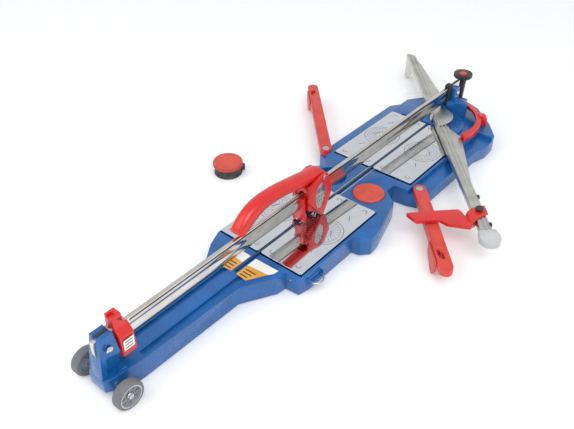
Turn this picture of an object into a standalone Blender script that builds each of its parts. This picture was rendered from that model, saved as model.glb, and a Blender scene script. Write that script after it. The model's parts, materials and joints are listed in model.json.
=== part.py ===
"""A long manual tile cutter with a sprung table, swinging fence and two folding support arms.

Metres, +Z up, floor at z = 0. X runs along the cutting line from the transport wheels (-X) to the
fence (+X); y = 0 is the cutting line and -Y is the near side.
"""

import math

import bmesh
import bpy
import numpy as np
from mathutils import Matrix, Vector

GAP = 0.0003  # clearance kept between pieces that touch

# Table and base
TABLE_HALF = 0.140  # centre line to the outer edge of a sprung plate
TABLE_TOP = 0.0655
PLATE_THICK = 0.004
PLATE_SPANS = {"front": (-0.429, -0.091), "rear": (0.091, 0.429)}
BASE_BOTTOM = 0.003
BASE_TOP = 0.060
LEDGE_TOP = 0.044
RECESS_FLOOR = 0.045
RECESS_HALF = TABLE_HALF + 0.0025
RIDGE_HALF = 0.003
RIDGE_TOP = 0.0667
PLATE_INNER = RIDGE_HALF + 0.0015
PLATE_HINGE_Y = PLATE_INNER + 0.004
PLATE_HINGE_Z = TABLE_TOP - PLATE_THICK - GAP - 0.0025
SWIVEL_TOP = 0.0670
CLIP_FLOOR = 0.0305

# Rail, carriage and handle
RAIL_HALF = 0.005
RAIL_Z = (0.110, 0.160)
RAIL_X = (-0.947, 0.6160)
CHEEK_Y = (0.0212, 0.0310)  # inner and outer faces of the carriage's side cheeks
INSERT = (-0.2075, 0.136)  # centre of the oval cover in each cheek
ROLLERS = {"top_roller_front": -0.226, "top_roller_rear": -0.168}
ROLLER_R = 0.0085
PIVOT = Vector((-0.195, 0.0, 0.192))
SCORE_X = -0.185
SCORE_R = 0.0070

# Front wheels
AXLE_X = -0.930
WHEEL_R = 0.036
WHEEL_Y = (0.0595, 0.0840)
AXLE_R = 0.005

# Clamp knob behind the rear tower
CLAMP_X = 0.645

# Fence
FENCE_PIVOT = Vector((0.450, 0.0, 0.0))
FENCE_ANGLE = math.radians(42.0)  # direction of the bar, from +X
FENCE_U = (-0.612, 0.495)
FENCE_V = (-0.036, -0.004)  # rear and front faces, measured from the pivot
FENCE_Z = (0.070, 0.090)
RING_R = (0.146, 0.163)
RING_Z = (0.072, 0.095)
RING_HALF_SPREAD = math.radians(62)
RING_CLAMP_ANGLE = math.radians(-54)

# Support arms
ARM_HALF = 0.0185
ARM_Z = (LEDGE_TOP + 0.001, 0.066)
FLAP_BOTTOM = 0.0005
ARMS = {
    "near": {"pivot": (0.088, -0.174), "end": (-0.166, -0.4055), "side": 1},
    "far": {"pivot": (0.088, 0.1735), "end": (0.395, 0.468), "side": -1},
}

# Storage boxes
BOX_R = 0.047
BOX_SEAT = (-0.024, 0.0695)
BOX_SEAT_FLOOR = 0.020
LOOSE_BOX = (-0.146, 0.387)

COLOURS = {
    "blue": ((0.020, 0.105, 0.33), 0.30, 0.0),
    "dark_blue": ((0.008, 0.030, 0.13), 0.35, 0.0),
    "red": ((0.75, 0.035, 0.020), 0.30, 0.0),
    "arm_red": ((0.62, 0.060, 0.040), 0.42, 0.0),
    "mirror_steel": ((0.80, 0.81, 0.82), 0.06, 1.0),
    "rail_steel": ((0.62, 0.60, 0.58), 0.18, 1.0),
    "steel": ((0.58, 0.58, 0.58), 0.28, 1.0),
    "aluminium": ((0.62, 0.61, 0.58), 0.42, 1.0),
    "grey_rubber": ((0.13, 0.13, 0.14), 0.75, 0.0),
    "grey_rim": ((0.32, 0.33, 0.34), 0.45, 0.0),
    "black": ((0.020, 0.020, 0.022), 0.50, 0.0),
    "clear_grey": ((0.62, 0.64, 0.65), 0.25, 0.0),
}


# ---------------------------------------------------------------- helpers


def clear_scene():
    for item in list(bpy.data.objects):
        bpy.data.objects.remove(item, do_unlink=True)


def finish(name):
    """The shared Principled material for one of the finishes above."""
    found = bpy.data.materials.get(name)
    if found:
        return found
    colour, roughness, metallic = COLOURS[name]
    made = bpy.data.materials.new(name)
    made.use_nodes = True
    shader = made.node_tree.nodes["Principled BSDF"]
    shader.inputs["Base Color"].default_value = (*colour, 1.0)
    shader.inputs["Roughness"].default_value = roughness
    shader.inputs["Metallic"].default_value = metallic
    return made


def add(name, bm, material=None, at=(0, 0, 0), turn=0.0, parent=None, smooth=False):
    """Make the object for a bmesh whose shape is given about its own origin."""
    bmesh.ops.recalc_face_normals(bm, faces=bm.faces)
    mesh = bpy.data.meshes.new(name)
    bm.to_mesh(mesh)
    bm.free()
    if smooth:
        mesh.shade_smooth()
        mesh.set_sharp_from_angle(angle=math.radians(35))
    made = bpy.data.objects.new(name, mesh)
    bpy.context.collection.objects.link(made)
    made.parent = parent
    made.location = at
    made.rotation_euler = (0, 0, turn)
    if material:
        mesh.materials.append(finish(material))
    return made


def pivot_empty(name, at, turn=0.0, parent=None):
    made = bpy.data.objects.new(name, None)
    bpy.context.collection.objects.link(made)
    made.parent = parent
    made.location = at
    made.rotation_euler = (0, 0, turn)
    return made


def prism(outline, low, high, axis="Z", bevel=0.0):
    """A closed prism: the outline lies across the axis and is drawn out from low to high.

    Outlines are (x, y) for Z, (x, z) for Y and (y, z) for X. A bevel rounds the edges at the high end.
    """
    place = {
        "Z": lambda a, b, h: (a, b, h),
        "Y": lambda a, b, h: (a, h, b),
        "X": lambda a, b, h: (h, a, b),
    }[axis]
    bm = bmesh.new()
    lower = [bm.verts.new(place(a, b, low)) for a, b in outline]
    upper = [bm.verts.new(place(a, b, high)) for a, b in outline]
    count = len(outline)
    bm.faces.new(lower)
    top = bm.faces.new(upper)
    for i in range(count):
        j = (i + 1) % count
        bm.faces.new((lower[i], lower[j], upper[j], upper[i]))
    if bevel:
        bmesh.ops.bevel(
            bm,
            geom=list(top.edges),
            offset=bevel,
            segments=2,
            profile=0.5,
            affect="EDGES",
        )
    return bm


def box(x0, x1, y0, y1, z0, z1):
    return prism([(x0, y0), (x1, y0), (x1, y1), (x0, y1)], z0, z1)


def turned(profile, steps=32, axis="Z"):
    """A closed solid of revolution from (radius, height) points, listed from the bottom to the top."""
    bm = bmesh.new()
    rings = []
    for radius, height in profile:
        if radius < 1e-6:
            rings.append([bm.verts.new((0, 0, height))])
            continue
        angles = [2 * math.pi * k / steps for k in range(steps)]
        rings.append(
            [bm.verts.new((radius * math.cos(a), radius * math.sin(a), height)) for a in angles]
        )
    closed = rings[0] if len(rings[0]) > 1 and len(rings[-1]) > 1 else None
    pairs = list(zip(rings, rings[1:]))
    if closed:
        pairs.append((rings[-1], rings[0]))
    for first, second in pairs:
        for k in range(steps):
            n = (k + 1) % steps
            corners = [first[k % len(first)], first[n % len(first)]]
            corners += [second[n % len(second)], second[k % len(second)]]
            bm.faces.new(list(dict.fromkeys(corners)))
    if axis == "Y":
        bmesh.ops.rotate(bm, verts=bm.verts, matrix=Matrix.Rotation(-math.pi / 2, 3, "X"))
    if axis == "X":
        bmesh.ops.rotate(bm, verts=bm.verts, matrix=Matrix.Rotation(math.pi / 2, 3, "Y"))
    return bm


def rod(radius, low, high, axis="Z", steps=24, chamfer=0.0):
    """A solid round bar with optional end chamfers."""
    inner = radius - chamfer
    profile = [(0, low), (inner, low)]
    if chamfer:
        profile += [(radius, low + chamfer), (radius, high - chamfer)]
    profile += [(inner, high), (0, high)]
    return turned(profile, steps, axis)


def arc(centre, radius, start, end, steps):
    """Points on a circle, from one angle to the other in degrees."""
    angles = np.radians(np.linspace(start, end, steps))
    return [(centre[0] + radius * math.cos(a), centre[1] + radius * math.sin(a)) for a in angles]


def loft(path, half_heights, half_width, sides=16):
    """A tube of rounded-square sections along a path in the XZ plane, closed at both ends."""
    bm = bmesh.new()
    rings = []
    path = np.array(path)
    along = np.gradient(path, axis=0)
    for (x, z), (dx, dz), high in zip(path, along, half_heights):
        length = math.hypot(dx, dz)
        up = (-dz / length, dx / length)
        ring = []
        for k in range(sides):
            a = 2 * math.pi * (k + 0.5) / sides
            c, s = math.cos(a), math.sin(a)
            wide = half_width * math.copysign(abs(c) ** 0.75, c)
            tall = high * math.copysign(abs(s) ** 0.75, s)
            ring.append(bm.verts.new((x + up[0] * tall, wide, z + up[1] * tall)))
        rings.append(ring)
    for first, second in zip(rings, rings[1:]):
        for k in range(sides):
            n = (k + 1) % sides
            bm.faces.new((first[k], first[n], second[n], second[k]))
    bm.faces.new(rings[0])
    bm.faces.new(rings[-1])
    return bm


def boolean(target, bm, operation="DIFFERENCE", at=(0, 0, 0)):
    """Cut or join one bmesh, given in the target's own frame, through a live Boolean modifier."""
    tool = add(f"{target.name}.tool.{len(target.modifiers)}", bm, at=at, parent=target)
    tool.hide_render = True
    tool.display_type = "WIRE"
    modifier = target.modifiers.new("shape", "BOOLEAN")
    modifier.operation = operation
    modifier.solver = "EXACT"
    modifier.object = tool


# ---------------------------------------------------------------- base


def base_outline():
    """The casting seen from above: near side front to rear, then far side rear to front."""
    spine = 0.047
    near = [
        (-0.955, -0.024), (-0.940, -0.034), (-0.860, -0.042), (-0.560, -spine), (-0.470, -0.098), (-0.441, -0.101),
        (-0.438, -0.142), (-0.405, -0.149), (-0.216, -0.149), (-0.212, -0.172), (-0.188, -0.193),
        (-0.150, -0.190), (-0.012, -0.149), (0.019, -0.101), (0.058, -0.101), (0.064, -0.152),
        (0.078, -0.186), (0.110, -0.194), (0.405, -0.194), (0.455, -0.208), (0.515, -0.205),
        (0.575, -0.155), (0.648, -0.078), (0.668, -0.030),
    ]
    far = [
        (0.668, 0.030), (0.648, 0.078), (0.583, 0.125), (0.490, 0.188), (0.110, 0.188),
        (0.070, 0.182), (0.058, 0.150), (0.050, 0.101), (0.019, 0.101), (-0.012, 0.149),
        (-0.216, 0.149), (-0.435, 0.145), (-0.485, 0.123), (-0.545, 0.083), (-0.590, spine),
        (-0.860, 0.042), (-0.940, 0.034), (-0.955, 0.024),
    ]
    return near + far


def swivel_outline():
    """The raised pad that the fence turns over: a round segment behind the rear plates."""
    return grown_swivel(0)


def grown_swivel(room):
    """The swivel pad's outline with some room round it."""
    edge = arc((FENCE_PIVOT.x, 0), 0.1095 + room, 80, -80, 28)
    x0, y0 = 0.4345 - room, 0.108 + room
    return [(x0, -y0), (x0, y0)] + edge


def base_casting():
    base = add("base_casting", prism(base_outline(), BASE_BOTTOM, BASE_TOP, bevel=0.003), "blue")
    boolean(base, prism(swivel_outline(), BASE_TOP - 0.004, SWIVEL_TOP), "UNION")
    boolean(base, box(-0.412, -0.358, -0.161, -0.140, 0.024, 0.044), "UNION")
    boolean(base, box(-0.045, 0.045, -0.050, 0.050, 0.0, 0.010), "UNION")
    under = -0.010
    table_floor = RECESS_FLOOR - 0.005
    hollows = [
        (-0.425, -0.095, -0.140, 0.140, table_floor),
        (0.095, 0.445, -0.145, 0.145, table_floor),
        (0.460, 0.560, -0.110, 0.110, BASE_TOP - 0.006),
        (-0.860, -0.470, -0.034, 0.034, BASE_TOP - 0.014),
    ]
    for x0, x1, y0, y1, top in hollows:
        boolean(base, box(x0, x1, y0, y1, under, top))
    for x0, x1 in PLATE_SPANS.values():
        cut = box(x0 - 0.0025, x1 + 0.0025, -RECESS_HALF, RECESS_HALF, RECESS_FLOOR, 0.08)
        boolean(base, cut)
    groove = RIDGE_HALF + GAP
    boolean(base, box(-0.5203, 0.4403, -groove, groove, RECESS_FLOOR, 0.08))
    for side in (-1, 1):
        y0, y1 = sorted((side * 0.1505, side * 0.230))
        boolean(base, box(0.050, 0.4975 if side < 0 else 0.600, y0, y1, LEDGE_TOP, 0.08))
        y0, y1 = sorted((side * 0.018, side * 0.034))
        boolean(base, box(-0.850, -0.500, y0, y1, BASE_TOP - 0.008, 0.08))
        seat = rod(BOX_R + 0.0015, BOX_SEAT_FLOOR, 0.08, steps=40)
        boolean(base, seat, at=(BOX_SEAT[0], side * BOX_SEAT[1], 0))
        y0, y1 = sorted((side * (PLATE_HINGE_Y - 0.0028), side * (PLATE_HINGE_Y + 0.0028)))
        boolean(base, box(-0.095, 0.095, y0, y1, PLATE_HINGE_Z - 0.0028, 0.08))
    boolean(base, box(-0.4095, -0.3605, -0.180, -0.1510, CLIP_FLOOR, 0.050))
    boolean(base, rod(0.0064, BASE_TOP, 0.08, steps=20), at=(FENCE_PIVOT.x, 0, 0))
    boolean(base, box(-0.98, -0.880, -0.06, 0.06, -0.01, 0.024))
    boolean(base, rod(AXLE_R + GAP, -0.06, 0.06, "Y"), at=(AXLE_X, 0, WHEEL_R))
    return base


def breaking_ridge():
    z0 = RECESS_FLOOR + GAP
    crest = [(-RIDGE_HALF, z0), (RIDGE_HALF, z0), (RIDGE_HALF, RIDGE_TOP - 0.002)]
    crest += [(0.001, RIDGE_TOP), (-0.001, RIDGE_TOP), (-RIDGE_HALF, RIDGE_TOP - 0.002)]
    add("breaking_ridge", prism(crest, -0.520, 0.440, "X"), "dark_blue")


def sprung_plates():
    """Four half plates that rock outwards on rods beside the breaking ridge, each over a spring."""
    z0 = TABLE_TOP - PLATE_THICK
    for side, sign in (("near", -1), ("far", 1)):
        at = Vector((0, sign * PLATE_HINGE_Y, PLATE_HINGE_Z))
        add(f"plate_rod_{side}", rod(0.0025, -0.419, 0.419, "X", 12), "steel", at, smooth=True)
        y0, y1 = sorted((sign * PLATE_INNER, sign * TABLE_HALF))
        for end, (x0, x1) in PLATE_SPANS.items():
            plate = box(x0, x1, y0 - at.y, y1 - at.y, z0 - at.z, TABLE_TOP - at.z)
            bevelled = [e for e in plate.edges if abs(e.verts[0].co.z - e.verts[1].co.z) > 1e-4]
            bmesh.ops.bevel(plate, geom=bevelled, offset=0.003, segments=2, affect="EDGES")
            add(f"table_plate_{end}_{side}", plate, "mirror_steel", at)


def plate_springs():
    """One stack of spring coils under each half plate, drawn as a ribbed sleeve."""
    radius, low, high = 0.009, RECESS_FLOOR + GAP, TABLE_TOP - PLATE_THICK - GAP
    turns = 5
    pitch = (high - low) / turns
    for end, (x0, x1) in PLATE_SPANS.items():
        for side, sign in (("near", -1), ("far", 1)):
            profile = [(0, low)]
            for k in range(turns):
                profile += [(radius - 0.0015, low + k * pitch), (radius, low + (k + 0.5) * pitch)]
            profile += [(radius - 0.0015, high), (0, high)]
            at = ((x0 + x1) / 2, sign * 0.100, 0)
            add(f"plate_spring_{end}_{side}", turned(profile, 16), "steel", at, smooth=True)


def rubber_feet():
    spots = [(-0.175, -0.172), (-0.290, 0.1445), (0.480, -0.180), (0.480, 0.160)]
    for k, (x, y) in enumerate(spots, 1):
        foot = turned([(0, 0), (0.0125, 0), (0.0140, 0.0015), (0.0140, 0.0027), (0, 0.0027)], 20)
        if k == 2:
            for v in foot.verts:
                v.co.y *= 0.30
        add(f"rubber_foot_{k}", foot, "black", (x, y, 0), smooth=True)


def wire_loop():
    """The wire loop beside the near front corner of the table, lying on its clip's lower lip."""
    wire, reach, sides, steps = 0.0022, 0.022, 8, 14
    loop = pivot_empty("wire_loop_pivot", (-0.385, -0.154, CLIP_FLOOR + GAP + wire))
    bm = bmesh.new()
    rings = []
    up = Vector((0, 0, 1))
    for k in range(steps + 1):
        a = math.pi * k / steps
        outwards = Vector((math.cos(a), -math.sin(a), 0))
        turn = [2 * math.pi * (j + 0.5) / sides for j in range(sides)]
        around = [outwards * (reach + wire * math.cos(t)) + up * (wire * math.sin(t)) for t in turn]
        rings.append([bm.verts.new(point) for point in around])
    for first, second in zip(rings, rings[1:]):
        for j in range(sides):
            n = (j + 1) % sides
            bm.faces.new((first[j], first[n], second[n], second[j]))
    bm.faces.new(rings[0])
    bm.faces.new(rings[-1])
    add("wire_loop", bm, "steel", parent=loop, smooth=True)


# ---------------------------------------------------------------- wheels


def transport_wheels():
    y0, y1 = WHEEL_Y
    reach = y1 - 0.0075
    half_axle = [(0.0085, reach + GAP), (0.0085, reach + 0.003), (0.006, reach + 0.0058)]
    axle = [(0, -reach - 0.0070)] + [(r, -h) for r, h in reversed(half_axle)]
    axle += [(AXLE_R, -reach - GAP), (AXLE_R, reach + GAP)] + half_axle + [(0, reach + 0.0070)]
    add("front_axle", turned(axle, 24, "Y"), "steel", (AXLE_X, 0, WHEEL_R), smooth=True)
    inner, outer = WHEEL_R - 0.0085, WHEEL_R
    middle, half = (y0 + y1) / 2, (y1 - y0) / 2
    for side, sign in (("near", -1), ("far", 1)):
        at = (AXLE_X, sign * middle, WHEEL_R)
        tread = [
            (inner, -half), (outer - 0.003, -half), (outer - 0.0005, -half + 0.0025),
            (outer, -half + 0.005), (outer, half - 0.005), (outer - 0.0005, half - 0.0025),
            (outer - 0.003, half), (inner, half),
        ]
        add(f"wheel_tyre_{side}", turned(tread, 32, "Y"), "grey_rubber", at, smooth=True)
        hub, bore, rim = 0.010, AXLE_R + GAP, inner - GAP
        dish = [
            (bore, -half), (hub, -half), (hub + 0.001, -half + 0.006), (rim - 0.004, -half + 0.007),
            (rim - 0.0025, -half + 0.001), (rim, -half + 0.001), (rim, half - 0.001),
            (rim - 0.0025, half - 0.001), (rim - 0.004, half - 0.007), (hub + 0.001, half - 0.006),
            (hub, half - 0.008), (bore, half - 0.008),
        ]
        if sign < 0:
            dish = [(r, -h) for r, h in reversed(dish)]
        add(f"wheel_rim_{side}", turned(dish, 32, "Y"), "grey_rim", at, smooth=True)


# ---------------------------------------------------------------- towers and rail


def guide_rail():
    rail = add("guide_rail", box(*RAIL_X, -RAIL_HALF, RAIL_HALF, *RAIL_Z), "rail_steel")
    for x in (-0.922, 0.572):
        boolean(rail, rod(0.0048, -0.02, 0.02, "Y", 20), at=(x, 0, 0.135))


def front_tower():
    """A tapered yoke: two cheeks joined under the rail, with the near foot spread wider."""
    z0, ztop = BASE_TOP + GAP, 0.168
    bm = bmesh.new()
    low = [(-0.9545, -0.0225), (-0.8962, -0.034), (-0.8962, 0.034), (-0.9545, 0.0225)]
    top = [(-0.937, -0.017), (-0.903, -0.017), (-0.903, 0.017), (-0.937, 0.017)]
    lower = [bm.verts.new((x, y, z0)) for x, y in low]
    upper = [bm.verts.new((x, y, ztop)) for x, y in top]
    bm.faces.new(lower)
    bm.faces.new(upper)
    for i in range(4):
        j = (i + 1) % 4
        bm.faces.new((lower[i], lower[j], upper[j], upper[i]))
    tower = add("front_tower", bm, "blue")
    slot = RAIL_HALF + GAP
    boolean(tower, box(-0.98, -0.87, -slot, slot, RAIL_Z[0] - GAP, 0.20))
    for side in (-1, 1):
        y0, y1 = sorted((side * 0.0115, side * 0.040))
        recess = [(-0.940, z0 + 0.006), (-0.88, z0 + 0.006), (-0.88, 0.1095), (-0.932, 0.1095)]
        boolean(tower, prism(recess, y0, y1, "Y"))
    boolean(tower, rod(0.0048, -0.04, 0.04, "Y", 20), at=(-0.922, 0, 0.135))
    bolt = [(0, -0.0295), (0.006, -0.0285), (0.009, -0.0265), (0.009, -0.0250), (0.0045, -0.0250)]
    bolt += [(0.0045, 0.0250), (0.009, 0.0250), (0.009, 0.0265), (0.006, 0.0285), (0, 0.0295)]
    add("front_tower_bolt", turned(bolt, 20, "Y"), "steel", (-0.922, 0, 0.135), smooth=True)


def front_stop_block():
    """The saddle that stops the carriage: a cap over the rail and two legs beside it."""
    legs = [
        (-0.031, 0.093), (-0.0145, 0.089), (-0.0145, 0.106), (0.0145, 0.106), (0.0145, 0.089),
        (0.031, 0.093), (0.028, 0.148), (0.014, 0.164), (0.0125, 0.198), (-0.0125, 0.198),
        (-0.014, 0.164), (-0.028, 0.148),
    ]
    block = add("front_stop_block", prism(legs, -0.8958, -0.859, "X"), "red")
    slot = RAIL_HALF + GAP
    boolean(block, box(-0.93, -0.83, -slot, slot, 0.0, RAIL_Z[1] + GAP))
    ramp = prism([(-0.871, 0.176), (-0.850, 0.158), (-0.850, 0.21), (-0.871, 0.21)], -0.05, 0.05, "Y")
    boolean(block, ramp)
    notch = box(-0.92, -0.882, -0.006, 0.006, 0.188, 0.21)
    boolean(block, notch)


def rear_tower():
    """The rear yoke: a foot, a window that the fence's arc runs through, and cheeks for the rail."""
    z0 = BASE_TOP + GAP
    under_ring = RING_Z[0] - 0.0012
    foot = [
        (0.532, 0.012), (0.532, -0.020), (0.538, -0.034), (0.556, -0.068), (0.571, -0.068),
        (0.588, -0.030), (0.590, 0.012),
    ]
    tower = add("rear_tower", prism(foot, z0, 0.112, bevel=0.003), "blue")
    boolean(tower, box(0.5575, 0.586, -0.023, 0.014, 0.100, 0.152), "UNION")
    boolean(tower, box(0.565, 0.668, -0.023, 0.023, z0, under_ring), "UNION")
    boolean(tower, rod(0.0185, z0 + 0.002, 0.069, steps=28), "UNION", at=(CLAMP_X, 0, 0))
    boolean(tower, prism(grown_swivel(GAP), 0.05, SWIVEL_TOP + GAP))
    slot = RAIL_HALF + GAP
    boolean(tower, box(0.50, 0.70, -slot, slot, RAIL_Z[0] - GAP, 0.20))
    boolean(tower, rod(0.0135, 0.0665, 0.2, steps=28), at=(CLAMP_X, 0, 0))
    boolean(tower, rod(0.0048, -0.04, 0.04, "Y", 20), at=(0.572, 0, 0.135))
    bolt = [(0, -0.0285), (0.007, -0.0275), (0.008, -0.0235), (0.0045, -0.0235), (0.0045, 0.0145)]
    bolt += [(0.008, 0.0145), (0.007, 0.0185), (0, 0.0195)]
    add("rear_tower_bolt", turned(bolt, 20, "Y"), "steel", (0.572, 0, 0.135), smooth=True)
    bumper = add("rear_bumper", box(0.536, 0.557, -0.0090, 0.0090, 0.0925, 0.168), "black")
    boolean(bumper, box(0.50, 0.58, -slot, slot, RAIL_Z[0] - GAP, RAIL_Z[1] + GAP))
    boolean(tower, box(0.52, 0.5573, -0.0093, 0.0093, 0.0922, 0.20))


def clamp_knob():
    """The tall screw behind the rear tower, its scalloped knob and its coloured cap."""
    pivot = pivot_empty("clamp_pivot", (CLAMP_X, 0, 0))
    low, pitch, ribs = 0.0668, 0.0095, 7
    profile = [(0, low), (0.0105, low)]
    for k in range(ribs):
        start, wide = low + 0.006 + k * pitch, 0.0112 + 0.0004 * k
        profile += [(wide - 0.0009, start), (wide, start + 0.2 * pitch), (wide, start + 0.7 * pitch)]
    profile += [(0.0135, 0.1390), (0.0145, 0.1440), (0.0150, 0.1520), (0.0150, 0.1606), (0, 0.1606)]
    add("clamp_screw", turned(profile, 16), "black", parent=pivot, smooth=True)
    lobes, steps = 8, 56
    rim = []
    for k in range(steps):
        a = 2 * math.pi * k / steps
        reach = 0.0320 - 0.0022 * (0.5 + 0.5 * math.cos(lobes * a)) ** 3
        rim.append((reach * math.cos(a), reach * math.sin(a)))
    knob = add("clamp_knob", prism(rim, 0.1609, 0.1740, bevel=0.002), "black", parent=pivot)
    boolean(knob, rod(0.0143, 0.1705, 0.19, steps=28))
    cap = turned([(0, 0.1708), (0.014, 0.1708), (0.014, 0.1730), (0.011, 0.1752), (0, 0.1758)], 28)
    add("knob_cap", cap, "red", parent=pivot, smooth=True)


# ---------------------------------------------------------------- carriage and handle


def carriage():
    slide = pivot_empty("carriage_pivot", (0, 0, 0))
    core = [
        (-0.214, 0.084), (-0.170, 0.084), (-0.160, 0.110), (-0.158, 0.142), (-0.166, 0.1725),
        (-0.236, 0.1725), (-0.250, 0.160), (-0.250, 0.104), (-0.232, 0.092),
    ]
    inner = CHEEK_Y[0]
    made = add("carriage_body", prism(core, -inner - 0.001, inner + 0.001, "Y"), "red", parent=slide)
    neck = [(-0.2095, 0.165), (-0.1805, 0.165)]
    neck += arc((PIVOT.x, PIVOT.z), 0.0145, 0, 180, 9)
    boolean(made, prism(neck, -0.014, 0.014, "Y"), "UNION")
    cheek = [
        (-0.2045, 0.0675), (-0.1915, 0.0675), (-0.1635, 0.1175), (-0.1577, 0.1420), (-0.1800, 0.1980),
        (-0.2080, 0.1980), (-0.2516, 0.1850), (-0.2545, 0.1335),
    ]
    for sign in (-1, 1):
        y0, y1 = sorted((sign * CHEEK_Y[0], sign * CHEEK_Y[1]))
        boolean(made, prism(cheek, y0, y1, "Y"), "UNION")
    slot = RAIL_HALF + 2 * GAP
    boolean(made, box(-0.30, -0.10, -slot, slot, RAIL_Z[0] - 2 * GAP, RAIL_Z[1] + 2 * GAP))
    boolean(made, rod(0.0043, -0.04, 0.04, "Y", 20), at=(PIVOT.x, 0, PIVOT.z))
    for side_sign in (-1, 1):
        y0, y1 = sorted((side_sign * 0.0245, side_sign * 0.040))
        window = [(x, z) for x, z in arc((0, 0), 1.0, 0, 345, 24)]
        window = [(INSERT[0] + 0.0205 * a, INSERT[1] + 0.0425 * b) for a, b in window]
        boolean(made, prism(window, y0, y1, "Y"))
    z = RAIL_Z[1] + GAP + ROLLER_R
    wide, shaft = RAIL_HALF, 0.0025
    profile = [
        (0, -0.011), (shaft, -0.011), (shaft, -wide), (ROLLER_R, -wide), (ROLLER_R, wide),
        (shaft, wide), (shaft, 0.011), (0, 0.011),
    ]
    for name, x in ROLLERS.items():
        boolean(made, rod(ROLLER_R + 0.001, -slot, slot, "Y", 24), at=(x, 0, z))
        boolean(made, rod(shaft + GAP, -0.0115, 0.0115, "Y", 16), at=(x, 0, z))
        roller = turned(profile, 24, "Y")
        add(name, roller, "steel", (x, 0, z), parent=slide, smooth=True)
    for side_name, sign in (("near", -1), ("far", 1)):
        y0, y1 = sorted((sign * 0.0248, sign * 0.0300))
        oval = [(INSERT[0] + 0.0200 * a, INSERT[1] + 0.0420 * b) for a, b in arc((0, 0), 1.0, 0, 345, 24)]
        cover = prism(oval, y0, y1, "Y")
        add(f"carriage_spring_cover_{side_name}", cover, "steel", parent=slide)
    breaking_foot(slide)
    scoring_tool(slide)
    handle(slide)


def breaking_foot(slide):
    """The two-toed foot that snaps the scored tile against the ridge."""
    toes = [
        (-0.020, 0.0695), (-0.008, 0.0745), (0, 0.0780), (0.008, 0.0745), (0.020, 0.0695),
        (0.020, 0.0900), (0.0155, 0.100), (0.0155, 0.146), (-0.0155, 0.146), (-0.0155, 0.100),
        (-0.020, 0.0900),
    ]
    foot = add("breaking_foot", prism(toes, -0.2660, -0.2550, "X"), "red", parent=slide)
    slot = RAIL_HALF + 2 * GAP
    boolean(foot, box(-0.28, -0.24, -slot, slot, RAIL_Z[0] - 2 * GAP, 0.16))


def scoring_tool(slide):
    z = RIDGE_TOP + 0.0012 + SCORE_R
    top = 0.084 - GAP
    holder = prism(
        [(-0.194, z), (-0.190, z - 0.0045), (-0.180, z - 0.0045), (-0.176, z), (-0.172, top), (-0.198, top)],
        -0.0065, 0.0065, "Y",
    )
    made = add("score_wheel_holder", holder, "steel", parent=slide)
    boolean(made, box(-0.21, -0.16, -0.0018, 0.0018, 0.05, z + SCORE_R + 0.0006))
    boolean(made, rod(0.0016, -0.01, 0.01, "Y", 16), at=(SCORE_X, 0, z))
    wheel = [
        (0, -0.0062), (0.0012, -0.0062), (0.0012, -0.0013), (SCORE_R - 0.001, -0.0013), (SCORE_R, 0),
        (SCORE_R - 0.001, 0.0013), (0.0012, 0.0013), (0.0012, 0.0062), (0, 0.0062),
    ]
    add("score_wheel", turned(wheel, 28, "Y"), "steel", (SCORE_X, 0, z), parent=slide, smooth=True)


def handle(slide):
    """A long curved lever with a bulbous end, forked over the carriage's neck."""
    hinge = pivot_empty("handle_pivot", PIVOT, parent=slide)
    keys_x = [-0.195, -0.240, -0.290, -0.354, -0.412, -0.450, -0.480, -0.499]
    keys_z = [0.1920, 0.1990, 0.2080, 0.2190, 0.2210, 0.2120, 0.1940, 0.1800]
    keys_h = [0.0185, 0.0185, 0.0180, 0.0170, 0.0175, 0.0210, 0.0215, 0.0150]
    spread = np.linspace(0, len(keys_x) - 1, 26)
    index = np.arange(len(keys_x))
    x, z, high = (np.interp(spread, index, keys) for keys in (keys_x, keys_z, keys_h))
    for _ in range(2):  # soften the corners between the key points
        for values in (x, z, high):
            values[1:-1] = (values[:-2] + 2 * values[1:-1] + values[2:]) / 4
    path = [(px - PIVOT.x, pz - PIVOT.z) for px, pz in zip(x, z)]
    heights = list(high)
    root = keys_h[0]
    for degrees in (30, 55, 75):
        a = math.radians(degrees)
        path.insert(0, (root * math.sin(a), -0.001 * math.sin(a)))
        heights.insert(0, root * math.cos(a))
    tip, before = np.array(path[-1]), np.array(path[-2])
    onward = (tip - before) / np.linalg.norm(tip - before)
    for degrees in (35, 65, 82):
        a = math.radians(degrees)
        path.append(tuple(tip + onward * 0.012 * math.sin(a)))
        heights.append(high[-1] * math.cos(a))
    lever = add("handle", loft(path, heights, 0.0205), "red", parent=hinge, smooth=True)
    boolean(lever, box(-0.067, 0.030, -0.0145, 0.0145, -0.05, 0.0152))
    boolean(lever, rod(0.0043, -0.04, 0.04, "Y", 20))
    out = CHEEK_Y[1] + GAP
    pin = [(0, -out - 0.003), (0.0065, -out - 0.003), (0.0065, -out), (0.0040, -out)]
    pin += [(0.0040, out), (0.0065, out), (0.0065, out + 0.003), (0, out + 0.003)]
    add("handle_pin", turned(pin, 20, "Y"), "steel", PIVOT, parent=slide, smooth=True)


# ---------------------------------------------------------------- fence


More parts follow.
